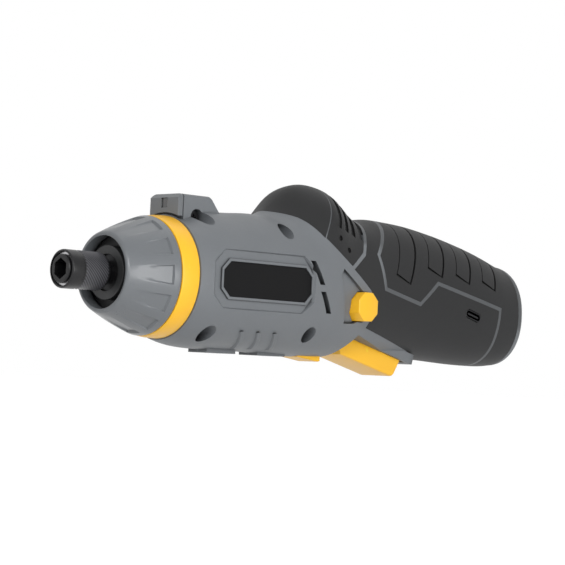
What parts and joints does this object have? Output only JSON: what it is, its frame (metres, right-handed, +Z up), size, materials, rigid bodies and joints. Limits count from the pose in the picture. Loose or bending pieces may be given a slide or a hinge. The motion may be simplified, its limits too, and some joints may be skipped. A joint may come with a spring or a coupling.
{
  "type": "electric screwdriver",
  "caption": "Straight-bodied cordless electric screwdriver with a fluted torque collar, quick-release bit holder, work lamp, humped body, paddle trigger and ribbed soft grip.",
  "frame": {"origin": "middle of the bit socket's mouth, on the spindle's axis", "axes": "+X back along the spindle towards the handle's end, +Z up towards the work lamp, -Y towards the side with the label and the charging port"},
  "size_m": [0.2263, 0.0488, 0.0706],
  "materials": {
    "housing": "fine-textured cool grey moulding",
    "overmould": "matte soft-touch black",
    "collar": "satin cool grey moulding",
    "accent": "satin yellow moulding",
    "chuck": "black oxide finish",
    "steel": "plain steel",
    "magnet": "dull magnet",
    "bronze": "plain bronze",
    "gear_plastic": "natural engineering plastic",
    "motor_case": "zinc-plated steel",
    "wire": "insulated wire",
    "label": "smooth blank black label",
    "dark_steel": "blackened steel",
    "lens": "clear lamp window",
    "inner_black": "black inner moulding",
    "cell": "shrink-wrapped cell",
    "board": "circuit board"
  },
  "bodies": {
    "body": {"housing_left": "housing", "housing_right": "housing", "bump_pad": "overmould", "thumb_grip_left": "overmould", "thumb_grip_right": "overmould", "side_panel_left": "overmould", "side_panel_right": "overmould", "rear_grip_left": "overmould", "rear_grip_right": "overmould", "tail_cap": "housing", "collar_ring": "accent", "gear_case": "inner_black", "spindle_bush": "dark_steel", "clutch_washer": "steel", "clutch_spring": "steel", "clutch_balls": "steel", "clutch_ring": "gear_plastic", "ring_gear": "gear_plastic", "motor_plate": "steel", "motor_can": "motor_case", "motor_end_cap": "gear_plastic", "motor_magnets": "magnet", "motor_leads": "wire", "label_plate": "label", "housing_screws": "dark_steel", "lamp_cover": "collar", "lamp_lens": "lens", "lamp_led": "lens", "lamp_switch": "inner_black", "switch_block": "inner_black", "trigger_spring": "steel", "lamp_button_spring": "steel", "battery_cell": "cell", "cell_contacts": "bronze", "control_board": "board", "usb_socket": "dark_steel"},
    "spindle": {"spindle": "chuck", "bit_magnet": "magnet", "chuck_clip": "steel", "chuck_spring": "steel", "chuck_balls": "steel", "carrier_front": "steel"},
    "sleeve": {"chuck_sleeve": "chuck"},
    "collar": {"torque_collar": "collar"},
    "nut": {"clutch_nut": "inner_black"},
    "rotor": {"motor_shaft": "steel", "armature": "motor_case", "commutator": "bronze", "motor_pinion": "bronze"},
    "carrier_rear": {"carrier_rear": "gear_plastic"},
    "trigger": {"trigger": "accent"},
    "direction_button": {"direction_button": "accent"},
    "lamp_button": {"lamp_button": "accent"},
    "planet_front_1": {"planet_front_1": "gear_plastic"},
    "planet_front_2": {"planet_front_2": "gear_plastic"},
    "planet_front_3": {"planet_front_3": "gear_plastic"},
    "planet_rear_1": {"planet_rear_1": "gear_plastic"},
    "planet_rear_2": {"planet_rear_2": "gear_plastic"},
    "planet_rear_3": {"planet_rear_3": "gear_plastic"}
  },
  "joints": [
    {"name": "rotor_spin", "type": "hinge", "parent": "body", "child": "rotor", "pos_m": [0.08, 0, 0], "axis": [1, 0, 0], "continuous": true},
    {"name": "spindle_spin", "type": "hinge", "parent": "body", "child": "spindle", "pos_m": [0.03, 0, 0], "axis": [1, 0, 0], "continuous": true},
    {"name": "carrier_rear_spin", "type": "hinge", "parent": "body", "child": "carrier_rear", "pos_m": [0.053, 0, 0], "axis": [1, 0, 0], "continuous": true},
    {"name": "planet_front_1_spin", "type": "hinge", "parent": "spindle", "child": "planet_front_1", "pos_m": [0.0485, 0.0081, 0], "axis": [1, 0, 0], "continuous": true},
    {"name": "planet_front_2_spin", "type": "hinge", "parent": "spindle", "child": "planet_front_2", "pos_m": [0.0485, -0.00405, 0.00701], "axis": [1, 0, 0], "continuous": true},
    {"name": "planet_front_3_spin", "type": "hinge", "parent": "spindle", "child": "planet_front_3", "pos_m": [0.0485, -0.00405, -0.00701], "axis": [1, 0, 0], "continuous": true},
    {"name": "planet_rear_1_spin", "type": "hinge", "parent": "carrier_rear", "child": "planet_rear_1", "pos_m": [0.0585, 0.0081, 0], "axis": [1, 0, 0], "continuous": true},
    {"name": "planet_rear_2_spin", "type": "hinge", "parent": "carrier_rear", "child": "planet_rear_2", "pos_m": [0.0585, -0.00405, 0.00701], "axis": [1, 0, 0], "continuous": true},
    {"name": "planet_rear_3_spin", "type": "hinge", "parent": "carrier_rear", "child": "planet_rear_3", "pos_m": [0.0585, -0.00405, -0.00701], "axis": [1, 0, 0], "continuous": true},
    {"name": "chuck_sleeve_slide", "type": "slide", "parent": "spindle", "child": "sleeve", "axis": [-1, 0, 0], "range_m": [0, 0.003], "stiffness_N_per_m": 900, "springref_m": -0.002, "deforming": ["chuck_spring"]},
    {"name": "torque_collar_turn", "type": "hinge", "parent": "body", "child": "collar", "pos_m": [0.03, 0, 0], "axis": [1, 0, 0], "range_deg": [0, 270]},
    {"name": "clutch_nut_slide", "type": "slide", "parent": "collar", "child": "nut", "axis": [1, 0, 0], "range_m": [0, 0.003], "deforming": ["clutch_spring"]},
    {"name": "trigger_pull", "type": "slide", "parent": "body", "child": "trigger", "axis": [0.2538, 0, 0.9673], "range_m": [0, 0.0045], "stiffness_N_per_m": 900, "springref_m": -0.003, "deforming": ["trigger_spring"]},
    {"name": "direction_button_shift", "type": "slide", "parent": "body", "child": "direction_button", "axis": [0, 1, 0], "range_m": [0, 0.0028]},
    {"name": "lamp_button_press", "type": "slide", "parent": "body", "child": "lamp_button", "axis": [0, 0, 1], "range_m": [0, 0.0015], "stiffness_N_per_m": 1500, "springref_m": -0.001, "deforming": ["lamp_button_spring"]}
  ],
  "couplings": [
    {"joint": "spindle_spin", "follows": "rotor_spin", "ratio": 0.027778},
    {"joint": "carrier_rear_spin", "follows": "rotor_spin", "ratio": 0.16667},
    {"joint": "planet_front_1_spin", "follows": "rotor_spin", "ratio": -0.069444},
    {"joint": "planet_front_2_spin", "follows": "rotor_spin", "ratio": -0.069444},
    {"joint": "planet_front_3_spin", "follows": "rotor_spin", "ratio": -0.069444},
    {"joint": "planet_rear_1_spin", "follows": "rotor_spin", "ratio": -0.41667},
    {"joint": "planet_rear_2_spin", "follows": "rotor_spin", "ratio": -0.41667},
    {"joint": "planet_rear_3_spin", "follows": "rotor_spin", "ratio": -0.41667},
    {"joint": "clutch_nut_slide", "follows": "torque_collar_turn", "m_per_rad": 0.00063662}
  ]
}
